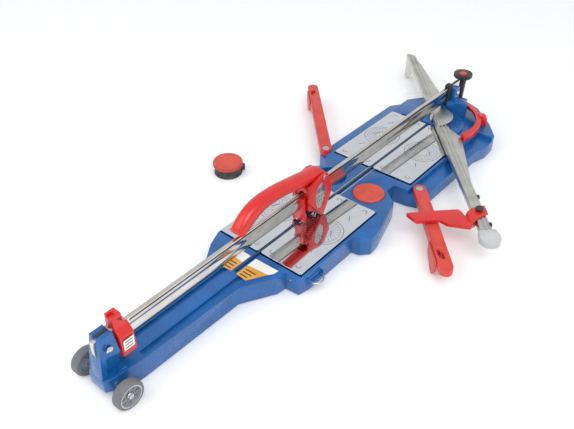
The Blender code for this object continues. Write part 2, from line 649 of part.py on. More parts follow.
def fence():
    """The swinging measuring fence. Its own axes are u along the bar and v square to it, rearwards."""
    hub = pivot_empty("fence_pivot", FENCE_PIVOT, FENCE_ANGLE)
    u0, u1 = FENCE_U
    z0, z1 = FENCE_Z
    lip = 0.0025
    rear, front = FENCE_V
    section = [
        (front, z0), (rear, z0), (rear, z1 - lip), (rear + 0.003, z1), (-0.030, z1),
        (-0.029, z1 - lip), (-0.024, z1 - lip), (-0.023, z1), (-0.018, z1), (-0.017, z1 - lip),
        (-0.012, z1 - lip), (-0.011, z1), (-0.007, z1), (front, z1 - lip),
    ]
    bar = add("fence_bar", prism(section, u0, u1, "X"), "aluminium", parent=hub)
    low, inside = 0.001, z0 + 0.004
    foot = [(u1 - 0.002, inside), (0.360, inside), (0.370, z0 - 0.001), (0.462, low), (u1 - 0.002, low)]
    boolean(bar, prism(foot, front - 0.0045, front - 0.0005, "Y"), "UNION")
    corner = [(u1 - 0.040, rear - 0.01), (u1 - 0.030, rear), (u1 - 0.012, rear + 0.006)]
    corner += [(u1 + 0.01, front + 0.004), (u1 + 0.02, rear - 0.01)]
    boolean(bar, prism(corner, 0.05, 0.12))
    boolean(bar, rod(0.0066, 0.05, 0.12, steps=24))
    back = rear - GAP
    web = [
        (-0.400, back), (-0.160, -0.066), (-0.125, -0.066), (-0.080, -0.044), (0.030, -0.044),
        (0.126, -0.044), (0.150, -0.0620), (0.185, -0.0660), (0.280, -0.0563), (0.390, -0.0469),
        (0.470, back),
    ]
    plate = add("fence_plate", prism(web[::-1], 0.074, 0.083), "aluminium", parent=hub)
    boolean(plate, box(-0.045, 0.045, -0.0435, back, 0.078, z1 + 0.002), "UNION")
    disc = arc((0, 0), 0.071, -176, -4, 36)
    disc = [(u, min(v, front - 0.003)) for u, v in disc]
    boolean(plate, prism(disc, z1 + GAP, z1 + 0.0032), "UNION")
    boolean(plate, rod(0.0066, 0.05, 0.12, steps=24))
    end = u0 - GAP
    tip = arc((end - 0.031, -0.0225), 0.029, 70, 290, 20) + [(end, rear - 0.010), (end, front + 0.005)]
    add("fence_end_tip", prism(tip, 0.070, 0.0893, bevel=0.003), "clear_grey", parent=hub)
    angle_ring(hub)
    tile_stop(hub)
    bolt = [(0, BASE_TOP + GAP), (0.0060, BASE_TOP + GAP), (0.0060, 0.0905), (0.0050, 0.0915), (0, 0.0915)]
    add("fence_pivot_bolt", turned(bolt, 20), "steel", FENCE_PIVOT, smooth=True)


def angle_ring(hub):
    """The arc that runs through the rear tower and holds the fence at its angle."""
    spread = math.degrees(RING_HALF_SPREAD)
    outer = arc((0, 0), RING_R[1], -90 - spread, -90 + spread, 40)
    inner = arc((0, 0), RING_R[0], -90 + spread, -90 - spread, 40)
    ring = add("angle_ring", prism(outer + inner, *RING_Z, bevel=0.002), "red", parent=hub)
    inner_cut = arc((0, 0), RING_R[1] - 0.004, -90 - spread + 2, -90 + spread - 2, 36)
    inner_cut += arc((0, 0), RING_R[0] - 0.002, -90 + spread - 2, -90 - spread + 2, 36)
    boolean(ring, prism(inner_cut, 0.05, RING_Z[0] + 0.012))


def ring_clamp():
    """The block on the base that the arc slides past, with a lip over the arc's edge."""
    bottom, top, lip = BASE_TOP + GAP, 0.0985, RING_Z[1] + 2 * GAP
    inner, outer = RING_R[1] + 0.0008, RING_R[1] + 0.0210
    section = [
        (inner, bottom), (outer, bottom), (outer, 0.090), (outer - 0.006, top), (inner - 0.007, top),
        (inner - 0.007, lip), (inner, lip),
    ]
    block = prism(section, -0.012, 0.012, "Y")
    add("ring_clamp", block, "red", FENCE_PIVOT, RING_CLAMP_ANGLE)


def tile_stop(hub):
    """The sliding stop: a saddle on the bar, a step and a long pointed blade ahead of it."""
    z1 = FENCE_Z[1]
    rear, front = FENCE_V
    blade_outline = [
        (-0.5376, 0.0100), (-0.5900, 0.0100), (-0.5733, 0.0735), (-0.5545, 0.0907),
        (-0.5584, 0.1560), (-0.5260, 0.1772), (-0.5202, 0.1772), (-0.5125, 0.1000), (-0.5080, 0.0300),
    ]
    blade = add("tile_stop", prism(blade_outline, 0.0685, 0.0785), "red", parent=hub)
    nose = front + 0.0006
    saddle = [
        (nose, 0.0690), (nose, z1 + GAP), (rear - 0.004, z1 + GAP), (rear - 0.004, 0.0945),
        (0.0030, 0.0965), (0.0140, 0.0885), (0.0180, 0.0690),
    ]
    block = prism(saddle, -0.600, -0.500, "X")
    boolean(blade, block, "UNION")
    for slant in (
        [(-0.620, 0.030), (-0.5907, 0.0180), (-0.5560, -0.0300), (-0.5480, -0.0500), (-0.620, -0.0500)],
        [(-0.490, 0.0300), (-0.5376, 0.0185), (-0.5180, -0.0200), (-0.5130, -0.0500), (-0.490, -0.0500)],
    ):
        boolean(blade, prism(slant, 0.060, 0.120))
    knob = turned([(0, 0.0968), (0.0095, 0.0968), (0.0105, 0.0985), (0.0105, 0.1045), (0.0085, 0.1060),
                   (0, 0.1060)], 20)
    add("stop_knob", knob, "black", (-0.5375, -0.0190, 0), parent=hub, smooth=True)


# ---------------------------------------------------------------- arms


def support_arms():
    """Two arms that swing out beside the rear table, each with a flap that stands on the floor."""
    z0, z1 = ARM_Z
    for name, spec in ARMS.items():
        px, py = spec["pivot"]
        ex, ey = spec["end"]
        length = math.hypot(ex - px, ey - py)
        turn = math.atan2(ey - py, ex - px)
        hub = pivot_empty(f"arm_{name}_pivot", (px, py, 0), turn)
        outline = arc((0, 0), ARM_HALF, 90, 270, 12) + arc((length, 0), ARM_HALF, -90, 90, 12)
        arm = add(f"arm_{name}", prism(outline, z0, z1, bevel=0.0015), "arm_red", parent=hub)
        boolean(arm, rod(0.0070, 0.0, 0.1, steps=20))
        boolean(arm, rod(0.0125, z1 - 0.003, 0.1, steps=24))
        side = spec["side"]
        slot_y = side * -0.008
        slot = arc((length - 0.062, slot_y), 0.0045, 90, 270, 8)
        slot += arc((length - 0.036, slot_y), 0.0045, -90, 90, 8)
        boolean(arm, prism(slot, 0.0, 0.1))
        relief = box(0.03, length - 0.09, -ARM_HALF + 0.004, ARM_HALF - 0.004, z0 - 0.01, z1 - 0.005)
        boolean(arm, relief)
        profile = [(0, z0 - 0.0007), (0.0067, z0 - 0.0007), (0.0067, z1 - 0.0027), (0.0115, z1 - 0.0027)]
        profile += [(0.0115, z1 - 0.0005), (0.0080, z1 + 0.0008), (0, z1 + 0.0008)]
        add(f"arm_bolt_{name}", turned(profile, 20), "steel", (px, py, 0), smooth=True)
        reach = length - 0.105
        drop = z1 - 0.006
        beside = -side * (ARM_HALF + GAP)
        flap = pivot_empty(f"arm_foot_{name}_pivot", (reach, beside, drop), parent=hub)
        shape = [(-0.002, 0.0), (0.085, 0.0), (0.085, -0.030)]
        shape += [(0.060, FLAP_BOTTOM - drop), (0.050, FLAP_BOTTOM - drop), (0.000, -0.034)]
        y0, y1 = sorted((side * -0.0040, 0.0))
        add(f"arm_foot_{name}", prism(shape, y0, y1, "Y"), "arm_red", parent=flap)


# ---------------------------------------------------------------- storage boxes


def storage_box(name, x, y, low):
    """A round screw-lid box for spare wheels: a cup with a rim and a ribbed lid."""
    r = BOX_R
    cup_at = pivot_empty(f"{name}_pivot", (x, y, low))
    cup = turned(
        [
            (0, 0.0), (r - 0.004, 0.0), (r - 0.002, 0.002), (r - 0.002, 0.006), (r - 0.005, 0.008),
            (r - 0.005, 0.0275), (r - 0.0075, 0.0275), (r - 0.0075, 0.003), (0, 0.003),
        ],
        28,
    )
    add(f"{name}_body", cup, "black", parent=cup_at, smooth=True)
    lid = turned(
        [
            (0, 0.0278), (r - 0.002, 0.0278), (r, 0.0295), (r, 0.0420), (r - 0.002, 0.0445),
            (r - 0.008, 0.0450), (r - 0.010, 0.0438), (0.016, 0.0438), (0.014, 0.0450), (0.006, 0.0450),
            (0.004, 0.0440), (0, 0.0440),
        ],
        28,
    )
    add(f"{name}_lid", lid, "red", parent=cup_at, smooth=True)


def main():
    clear_scene()
    base_casting()
    breaking_ridge()
    sprung_plates()
    plate_springs()
    rubber_feet()
    wire_loop()
    transport_wheels()
    guide_rail()
    front_tower()
    front_stop_block()
    rear_tower()
    clamp_knob()
    carriage()
    fence()
    ring_clamp()
    support_arms()
    storage_box("seated_box", BOX_SEAT[0], -BOX_SEAT[1], BOX_SEAT_FLOOR + GAP)
    storage_box("loose_box", *LOOSE_BOX, 0.0005)


main()
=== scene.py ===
"""Looks for a long manual tile cutter: rounded castings, coil springs, engraved plates and finishes.

Metres, +Z up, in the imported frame: +X runs along the cutting line towards the fence and -Y is the near side.
"""

import json
import math

import bmesh
import bpy
from mathutils import Matrix, Vector


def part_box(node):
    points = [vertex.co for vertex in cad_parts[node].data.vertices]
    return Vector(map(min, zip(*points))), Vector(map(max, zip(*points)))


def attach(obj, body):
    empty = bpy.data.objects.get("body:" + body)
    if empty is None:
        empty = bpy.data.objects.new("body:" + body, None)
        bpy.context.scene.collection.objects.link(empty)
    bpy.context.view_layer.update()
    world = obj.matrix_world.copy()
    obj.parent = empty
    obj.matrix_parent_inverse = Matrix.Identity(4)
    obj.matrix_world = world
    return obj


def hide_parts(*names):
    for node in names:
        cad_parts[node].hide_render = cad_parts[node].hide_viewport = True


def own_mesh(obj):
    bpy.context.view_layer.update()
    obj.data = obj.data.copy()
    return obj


bl_info = {
    "name": "Tile Cutter",
    "version": (1, 0, 0),
    "blender": (4, 5, 0),
    "location": "3D View > Sidebar > Tile Cutter",
    "description": "Builds the finished pieces of a long manual tile cutter around its frame",
    "category": "Object",
}

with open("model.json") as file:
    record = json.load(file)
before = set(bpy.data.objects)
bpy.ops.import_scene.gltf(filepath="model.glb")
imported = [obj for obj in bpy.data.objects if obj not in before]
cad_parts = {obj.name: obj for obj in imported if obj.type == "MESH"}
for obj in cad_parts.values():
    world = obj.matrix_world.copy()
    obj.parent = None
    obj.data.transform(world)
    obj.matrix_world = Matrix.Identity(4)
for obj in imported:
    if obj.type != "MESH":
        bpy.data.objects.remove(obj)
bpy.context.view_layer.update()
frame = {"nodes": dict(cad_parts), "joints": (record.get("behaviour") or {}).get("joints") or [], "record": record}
JOINTS = {joint["name"]: joint for joint in frame["joints"]}
SLOT_OF = {part["node"]: part["material_slot"] for part in frame["record"]["subparts"]}
BODY_OF = {
    node: body for body, nodes in frame["record"]["behaviour"]["bodies"].items() for node in nodes
}
MM = 0.001


def linear(code):
    """Linear colour of an sRGB hex code."""
    channels = [int(code[i : i + 2], 16) / 255 for i in (1, 3, 5)]
    return tuple(c / 12.92 if c <= 0.04045 else ((c + 0.055) / 1.055) ** 2.4 for c in channels)


# ---------------------------------------------------------------- what a user may change


def colour(name, description, code):
    """A colour property whose default is given in sRGB."""
    return bpy.props.FloatVectorProperty(
        name=name, description=description, subtype="COLOR", size=3, min=0, max=1, default=linear(code)
    )


def length(name, description, value):
    """A length property in metres."""
    return bpy.props.FloatProperty(
        name=name, description=description, default=value, min=0, unit="LENGTH", subtype="DISTANCE"
    )


class CutterColours(bpy.types.PropertyGroup):
    blue: colour("Blue enamel", "Castings of the base and the two towers", "#04589C")
    red: colour("Red enamel", "Carriage, lever, stops and arc", "#CC1C18")
    arm_red: colour("Arm red", "Satin paint of the support arms", "#C93E36")
    plate: colour("Table plates", "Polished stainless plates", "#DDE0E3")
    tyre: colour("Tyres", "Grey tyre rubber", "#6E6F73")


class CutterSizes(bpy.types.PropertyGroup):
    casting_round: length("Casting rounding", "Radius of the castings' edges", 1.6 * MM)
    machined_round: length("Machined rounding", "Chamfer of machined steel edges", 0.4 * MM)


# ---------------------------------------------------------------- materials


def add_node(tree, kind, inputs=None, **settings):
    """Add one node, set its properties, and set or link its inputs."""
    made = tree.nodes.new(kind)
    for key, value in settings.items():
        setattr(made, key, value)
    for key, value in (inputs or {}).items():
        socket = made.inputs[key]
        if isinstance(value, bpy.types.NodeSocket):
            tree.links.new(value, socket)
        else:
            socket.default_value = value
    return made


def per_metre(size_mm):
    """Texture scale whose features are about this many millimetres across."""
    return 1000.0 / size_mm


def surface(
    name, tones, roughness, grain_mm, depth_mm, metallic=0.0, stretch=(1, 1, 1), turn=0.0,
    tone_mm=40.0, **shader_inputs
):
    """A material whose tone, gloss and relief all vary over the piece at real sizes."""
    made = bpy.data.materials.new(name)
    made.use_nodes = True
    tree = made.node_tree
    shader = tree.nodes["Principled BSDF"]
    shader.inputs["Metallic"].default_value = metallic
    for key, value in shader_inputs.items():
        shader.inputs[key.replace("_", " ").title()].default_value = value
    place = add_node(tree, "ShaderNodeTexCoord").outputs["Object"]
    along = add_node(
        tree, "ShaderNodeMapping", {"Vector": place, "Rotation": (0, 0, turn)}
    ).outputs["Vector"]
    along = add_node(tree, "ShaderNodeMapping", {"Vector": along, "Scale": stretch}).outputs["Vector"]
    broad = add_node(
        tree, "ShaderNodeTexNoise", {"Vector": place, "Scale": per_metre(tone_mm), "Detail": 4.0}
    )
    fine = add_node(
        tree, "ShaderNodeTexNoise", {"Vector": along, "Scale": per_metre(grain_mm), "Detail": 3.0}
    )
    tone = add_node(
        tree, "ShaderNodeMapRange",
        {"Value": broad.outputs["Fac"], "From Min": 0.35, "From Max": 0.65},
    )
    blend = add_node(tree, "ShaderNodeMix", data_type="RGBA")
    tree.links.new(tone.outputs["Result"], blend.inputs["Factor"])
    for socket, value in zip([s for s in blend.inputs if s.type == "RGBA"], tones):
        socket.default_value = (*value, 1)
    tree.links.new([s for s in blend.outputs if s.type == "RGBA"][0], shader.inputs["Base Color"])
    gloss = add_node(
        tree, "ShaderNodeMapRange",
        {
            "Value": fine.outputs["Fac"], "From Min": 0.3, "From Max": 0.7,
            "To Min": roughness[0], "To Max": roughness[1],
        },
    )
    tree.links.new(gloss.outputs["Result"], shader.inputs["Roughness"])
    relief = add_node(
        tree, "ShaderNodeBump", {"Height": fine.outputs["Fac"], "Distance": depth_mm * MM, "Strength": 1.0}
    )
    tree.links.new(relief.outputs["Normal"], shader.inputs["Normal"])
    return made


def shade(rgb, factor):
    """The same colour, darker or lighter."""
    return tuple(min(1.0, c * factor) for c in rgb)


def make_finishes():
    """Every finish on the cutter, by the record's slot name or a small part's own name."""
    c = bpy.context.scene.cutter_colours
    blue, red, arm = tuple(c.blue), tuple(c.red), tuple(c.arm_red)
    plate, tyre = tuple(c.plate), tuple(c.tyre)
    made = {}
    # Stove enamel on die-cast aluminium: a wet-looking coat with orange peel about 3 mm across.
    made["blue_enamel"] = surface(
        "Stove_Enamel_Blue", (shade(blue, 0.86), shade(blue, 1.12)), (0.24, 0.34), 3.0, 0.003,
        coat_weight=0.3, coat_roughness=0.12,
    )
    made["dark_blue_enamel"] = surface(
        "Stove_Enamel_Dark_Blue", (shade(blue, 0.25), shade(blue, 0.4)), (0.2, 0.3), 3.0, 0.006,
        coat_weight=0.4, coat_roughness=0.08,
    )
    made["red_enamel"] = surface(
        "Stove_Enamel_Red", (shade(red, 0.9), shade(red, 1.06)), (0.26, 0.36), 2.5, 0.003,
        coat_weight=0.3, coat_roughness=0.12,
    )
    # Glass-filled nylon, moulded: semi-gloss with a faint flow pattern.
    made["red_grip"] = surface(
        "Moulded_Nylon_Red", (shade(red, 0.94), shade(red, 1.08)), (0.26, 0.34), 6.0, 0.001,
        coat_weight=0.2, coat_roughness=0.15,
    )
    made["arm_red"] = surface(
        "Satin_Paint_Red", (shade(arm, 0.9), shade(arm, 1.1)), (0.34, 0.46), 1.5, 0.01,
    )
    made["red_lid"] = surface(
        "Moulded_ABS_Red", (linear("#C4433A"), linear("#D2523F")), (0.38, 0.5), 0.8, 0.012,
    )
    # Stainless sheet polished along X: hairlines 0.6 mm apart.
    made["polished_plate"] = surface(
        "Polished_Stainless", (shade(plate, 0.94), plate), (0.03, 0.09), 0.6, 0.0004, 1.0, (0.02, 1, 1),
    )
    # Ground and chromed bar: long faint grinding lines.
    made["rail_steel"] = surface(
        "Chromed_Bar", (linear("#CBC6C0"), linear("#DAD6D0")), (0.10, 0.18), 0.8, 0.0006, 1.0, (0.01, 1, 1),
    )
    made["steel"] = surface(
        "Zinc_Plated_Steel", (linear("#B9BABC"), linear("#CFCFCF")), (0.2, 0.34), 0.5, 0.004, 1.0,
    )
    # Extruded, satin-anodised aluminium: die lines run the length of the bar.
    made["aluminium"] = surface(
        "Anodised_Aluminium", (linear("#C2C0BB"), linear("#D3D1CC")), (0.3, 0.46), 0.9, 0.012, 1.0,
        (0.01, 1, 1), -fence_angle(),
    )
    made["grey_rubber"] = surface(
        "Tyre_Rubber_Grey", (shade(tyre, 0.9), shade(tyre, 1.1)), (0.6, 0.78), 0.7, 0.02,
    )
    made["grey_rim"] = surface(
        "Moulded_Nylon_Grey", (linear("#7B8086"), linear("#8B9096")), (0.35, 0.48), 0.9, 0.01,
    )
    made["black_plastic"] = surface(
        "Moulded_Nylon_Black", (linear("#262527"), linear("#38363A")), (0.36, 0.5), 0.7, 0.015,
    )
    made["black_rubber"] = surface(
        "Moulded_Rubber_Black", (linear("#1C1C1E"), linear("#2B2B2D")), (0.6, 0.75), 0.8, 0.02,
    )
    made["clear_grey"] = surface(
        "Frosted_Polycarbonate", (linear("#C9CCCE"), linear("#DADCDD")), (0.3, 0.4), 1.2, 0.01,
        transmission_weight=0.35,
    )
    made["etched"] = surface(
        "Etched_Steel", (linear("#4A4B4F"), linear("#66686C")), (0.5, 0.7), 0.4, 0.004,
    )
    made["label_white"] = surface(
        "Vinyl_Film_White", (linear("#E9E7E2"), linear("#F2F0EC")), (0.3, 0.4), 4.0, 0.003,
    )
    made["label_orange"] = surface(
        "Vinyl_Film_Orange", (linear("#D99A3A"), linear("#E6AC4C")), (0.3, 0.4), 4.0, 0.003,
    )
    made["label_ink"] = surface(
        "Printed_Ink", (linear("#2A2A2C"), linear("#3A3A3C")), (0.35, 0.45), 2.0, 0.002,
    )
    return made


# ---------------------------------------------------------------- mesh helpers


def settle(name, bm, finish, body, smooth=32):
    """Turn a bmesh in world place into a finished piece riding on its body."""
    mesh = bpy.data.meshes.new(name)
    bmesh.ops.recalc_face_normals(bm, faces=bm.faces)
    bm.to_mesh(mesh)
    bm.free()
    mesh.materials.clear()
    mesh.materials.append(FINISH[finish])
    made = bpy.data.objects.new(name, mesh)
    bpy.context.scene.collection.objects.link(made)
    mesh.shade_smooth()
    mesh.set_sharp_from_angle(angle=math.radians(smooth))
    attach(made, body)
    return made


def baked(carrier):
    """The evaluated mesh of an object, which is then removed."""
    graph = bpy.context.evaluated_depsgraph_get()
    mesh = bpy.data.meshes.new_from_object(carrier.evaluated_get(graph))
    raw = carrier.data
    bpy.data.objects.remove(carrier)
    bpy.data.meshes.remove(raw)
    return mesh


def carrier_of(name, bm):
    """A linked object that carries a bmesh through a modifier."""
    made = bpy.data.objects.new(name, bpy.data.meshes.new(name))
    bm.to_mesh(made.data)
    bm.free()
    bpy.context.scene.collection.objects.link(made)
    return made


def rounded(node, name, width, segments=2, finish=None, limit=30, cut=None):
    """A CAD node with its edges rounded, and openings cut through it first where it has any."""
    bm = bmesh.new()
    bm.from_mesh(frame["nodes"][node].data)
    bmesh.ops.remove_doubles(bm, verts=bm.verts, dist=0.005 * MM)
    carrier = carrier_of(name + "_raw", bm)
    tool = None
    if cut:
        tool = carrier_of(name + "_cut", cut)
        opening = carrier.modifiers.new("opening", "BOOLEAN")
        opening.operation = "DIFFERENCE"
        opening.solver = "EXACT"
        opening.object = tool
    bevel = carrier.modifiers.new("rounding", "BEVEL")
    bevel.width = width
    bevel.segments = segments
    bevel.limit_method = "ANGLE"
    bevel.angle_limit = math.radians(limit)
    bevel.use_clamp_overlap = True
    bm = bmesh.new()
    mesh = baked(carrier)
    if tool:
        raw = tool.data
        bpy.data.objects.remove(tool)
        bpy.data.meshes.remove(raw)
    bm.from_mesh(mesh)
    bpy.data.meshes.remove(mesh)
    made = settle(name, bm, finish or SLOT_OF[node], BODY_OF[node])
    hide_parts(node)
    return made


def slab(bm, outline, z0, z1, place=None):
    """A flat plate with this outline, standing from z0 to z1."""
    place = place or Matrix.Identity(4)
    low = [bm.verts.new(place @ Vector((x, y, z0))) for x, y in outline]
    high = [bm.verts.new(place @ Vector((x, y, z1))) for x, y in outline]
    bm.faces.new(low[::-1])
    bm.faces.new(high)
    for k in range(len(outline)):
        n = (k + 1) % len(outline)
        bm.faces.new((low[k], low[n], high[n], high[k]))


def stroke(bm, points, width, z0, z1, place=None):
    """A flat line of even width drawn through some points."""
    left, right = [], []
    for k, (x, y) in enumerate(points):
        x0, y0 = points[max(k - 1, 0)]
        x1, y1 = points[min(k + 1, len(points) - 1)]
        along = Vector((x1 - x0, y1 - y0)).normalized() * width / 2
        left.append((x - along.y, y + along.x))
        right.append((x + along.y, y - along.x))
    slab(bm, left + right[::-1], z0, z1, place)


def turned(bm, profile, steps=48, place=None):
    """A closed round piece from (radius, height) points, first and last on the axis or meeting."""
    place = place or Matrix.Identity(4)
    rings = []
    for r, z in profile:
        count = 1 if r == 0 else steps
        turns = [2 * math.pi * k / steps for k in range(count)]
        rings.append([bm.verts.new(place @ Vector((r * math.cos(a), r * math.sin(a), z))) for a in turns])
    pairs = list(zip(rings, rings[1:]))
    if profile[0][0] > 0:
        pairs.append((rings[-1], rings[0]))
    for below, above in pairs:
        for k in range(steps):
            n = (k + 1) % steps
            lower = [below[k % len(below)], below[n % len(below)]]
            upper = [above[n % len(above)], above[k % len(above)]]
            unique = list(dict.fromkeys(lower + upper))
            if len(unique) > 2:
                bm.faces.new(unique)


def rectangle(x0, y0, x1, y1):
    """The outline of a rectangle, anticlockwise."""
    return [(x0, y0), (x1, y0), (x1, y1), (x0, y1)]


def arc(cx, cy, r, start, end, steps=16):
    """Points along an arc, in degrees."""
    turns = [math.radians(start + (end - start) * k / steps) for k in range(steps + 1)]
    return [(cx + r * math.cos(a), cy + r * math.sin(a)) for a in turns]


def facing(x, y, z, axis):
    """A place whose +Z points along an axis."""
    return Matrix.Translation((x, y, z)) @ Vector(axis).to_track_quat("Z", "Y").to_matrix().to_4x4()


# ---------------------------------------------------------------- repeated shapes, made with nodes


def start_tree(name, sizes):
    """A new geometry tree with named inputs; returns it and the sockets its inputs come from."""
    tree = bpy.data.node_groups.new(name, "GeometryNodeTree")
    tree.interface.new_socket("Geometry", in_out="OUTPUT", socket_type="NodeSocketGeometry")
    for label, kind in sizes.items():
        tree.interface.new_socket(label, in_out="INPUT", socket_type="NodeSocket" + kind)
    return tree, add_node(tree, "NodeGroupInput").outputs


def end_tree(tree, geometry, material):
    """Finish a tree: instances made real, and their finish set."""
    real = add_node(tree, "GeometryNodeRealizeInstances", {"Geometry": geometry})
    painted = add_node(
        tree, "GeometryNodeSetMaterial", {"Geometry": real.outputs["Geometry"], "Material": material}
    )
    add_node(tree, "NodeGroupOutput", {"Geometry": painted.outputs["Geometry"]})
    return tree


def coil_tree():
    """A wire wound into a cylindrical spring."""
    sizes = {"Radius": "Float", "Wire": "Float", "Height": "Float", "Turns": "Float", "Finish": "Material"}
    tree, given = start_tree("Coil_Spring", sizes)
    path = add_node(
        tree, "GeometryNodeCurveSpiral",
        {
            "Resolution": 24, "Rotations": given["Turns"], "Start Radius": given["Radius"],
            "End Radius": given["Radius"], "Height": given["Height"],
        },
    )
    wire = add_node(tree, "GeometryNodeCurvePrimitiveCircle", {"Resolution": 8, "Radius": given["Wire"]})
    swept = add_node(
        tree, "GeometryNodeCurveToMesh",
        {"Curve": path.outputs["Curve"], "Profile Curve": wire.outputs["Curve"], "Fill Caps": True},
    )
    return end_tree(tree, swept.outputs["Mesh"], given["Finish"])


def row_tree():
    """Small blocks at even steps along a line."""
    sizes = {"Count": "Int", "Start": "Vector", "Step": "Vector", "Size": "Vector", "Finish": "Material"}
    tree, given = start_tree("Row_Of_Marks", sizes)
    line = add_node(
        tree, "GeometryNodeMeshLine",
        {"Count": given["Count"], "Start Location": given["Start"], "Offset": given["Step"]},
    )
    block = add_node(tree, "GeometryNodeMeshCube", {"Size": given["Size"]})
    spread = add_node(
        tree, "GeometryNodeInstanceOnPoints",
        {"Points": line.outputs["Mesh"], "Instance": block.outputs["Mesh"]},
    )
    return end_tree(tree, spread.outputs["Instances"], given["Finish"])


def circle_tree():
    """Small blocks at even steps round an arc, each turned to face outwards."""
    sizes = {
        "Count": "Int", "Radius": "Float", "From": "Float", "Sweep": "Float", "Size": "Vector",
        "Finish": "Material",
    }
    tree, given = start_tree("Ring_Of_Marks", sizes)
    path = add_node(
        tree, "GeometryNodeCurveArc",
        {
            "Resolution": 128, "Radius": given["Radius"], "Start Angle": given["From"],
            "Sweep Angle": given["Sweep"],
        },
    )
    points = add_node(
        tree, "GeometryNodeCurveToPoints", {"Curve": path.outputs["Curve"], "Count": given["Count"]},
        mode="COUNT",
    )
    block = add_node(tree, "GeometryNodeMeshCube", {"Size": given["Size"]})
    spot = add_node(tree, "GeometryNodeInputPosition").outputs["Position"]
    turn = add_node(tree, "FunctionNodeAlignRotationToVector", {"Vector": spot}, axis="X")
    spread = add_node(
        tree, "GeometryNodeInstanceOnPoints",
        {
            "Points": points.outputs["Points"], "Instance": block.outputs["Mesh"],
            "Rotation": turn.outputs["Rotation"],
        },
    )
    return end_tree(tree, spread.outputs["Instances"], given["Finish"])


def grown(tree, values, name, finish, body, place=None):
    """Run a geometry tree with these sizes and settle its result on a body."""
    bm = bmesh.new()
    carrier = carrier_of(name + "_seed", bm)
    grower = carrier.modifiers.new("grow", "NODES")
    grower.node_group = tree
    ids = {item.name: item.identifier for item in tree.interface.items_tree if item.in_out == "INPUT"}
    grower[ids["Finish"]] = FINISH[finish]
    for label, value in values.items():
        grower[ids[label]] = value
    mesh = baked(carrier)
    mesh.transform(place or Matrix.Identity(4))
    bm = bmesh.new()
    bm.from_mesh(mesh)
    bpy.data.meshes.remove(mesh)
    return settle(name, bm, finish, body)


FINISH = {}
TREES = {}
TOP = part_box("table_plate_front_near")[1].z
ENGRAVED = 0.06 * MM  # height at which an engraved mark shows on a plate
FILM = 0.15 * MM  # thickness of a sticker
EMBLEM_RADIUS = 0.057
ARM_ENDS = {"near": (-0.166, -0.4055), "far": (0.395, 0.468)}


def fence_place():
    """The fence's own frame: +X along the bar from its pivot, in world place."""
    pivot = JOINTS["fence_swing"]["pos_m"]
    return Matrix.Translation((pivot[0], pivot[1], 0)) @ Matrix.Rotation(fence_angle(), 4, "Z")


def fence_angle():
    """Angle of the fence bar from +X."""
    x, y, _ = JOINTS["stop_slide"]["axis"]
    return math.atan2(y, x)


# ---------------------------------------------------------------- the pieces


class CUTTER_OT_base(bpy.types.Operator):
    """Build the rounded base casting, its feet, its stickers and the breaking ridge"""

    bl_idname = "cutter.base"
    bl_label = "Base"

    def execute(self, context):
        sizes = context.scene.cutter_sizes
        rounded("base_casting", "Base_shell", sizes.casting_round, 3)
        rounded("breaking_ridge", "Breaking_ridge", sizes.machined_round)
        for k in range(1, 5):
            rounded(f"rubber_foot_{k}", f"Rubber_foot_{k}", 0.6 * MM)
        orange, white, ink = bmesh.new(), bmesh.new(), bmesh.new()
        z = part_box("front_tower")[0].z - 0.3 * MM
        for side in (-1, 1):
            lower = [(-0.5258, 0.0090), (-0.5286, 0.0440), (-0.4782, 0.0735), (-0.4841, 0.0090)]
            slab(orange, [(x, side * y) for x, y in lower], z, z + FILM)
            upper = [(-0.4835, 0.0090), (-0.4776, 0.0738), (-0.4659, 0.0823)]
            upper += [(-0.4497, 0.0844), (-0.4516, 0.0090)]
            slab(white, [(x, side * y) for x, y in upper], z, z + FILM)
            for k in range(3):
                x = -0.519 + 0.011 * k
                stroke(ink, [(x, side * 0.016), (x, side * (0.040 + 0.005 * k))], 3.6 * MM, z, z + 0.25 * MM)
        settle("Base_stickers_orange", orange, "label_orange", "root")
        settle("Base_stickers_white", white, "label_white", "root")
        settle("Base_stickers_bars", ink, "label_ink", "root")
        pin = bmesh.new()
        profile = [(0, 0), (3.6 * MM, 0), (4.2 * MM, 0.6 * MM)]
        profile += [(4.2 * MM, 9 * MM), (3 * MM, 10 * MM), (0, 10 * MM)]
        turned(pin, profile, 24, facing(-0.4300, -0.1195, 0.045, (-1, 0, 0)))
        settle("Corner_pin", pin, "black_plastic", "root")
        stud = bmesh.new()
        profile = [(0, 0), (2 * MM, 0), (2 * MM, 4 * MM), (1.4 * MM, 5 * MM), (0, 5 * MM)]
        turned(stud, profile, 20, facing(-0.4400, -0.1195, 0.045, (-1, 0, 0)))
        settle("Corner_pin_stud", stud, "steel", "root")
        return {"FINISHED"}


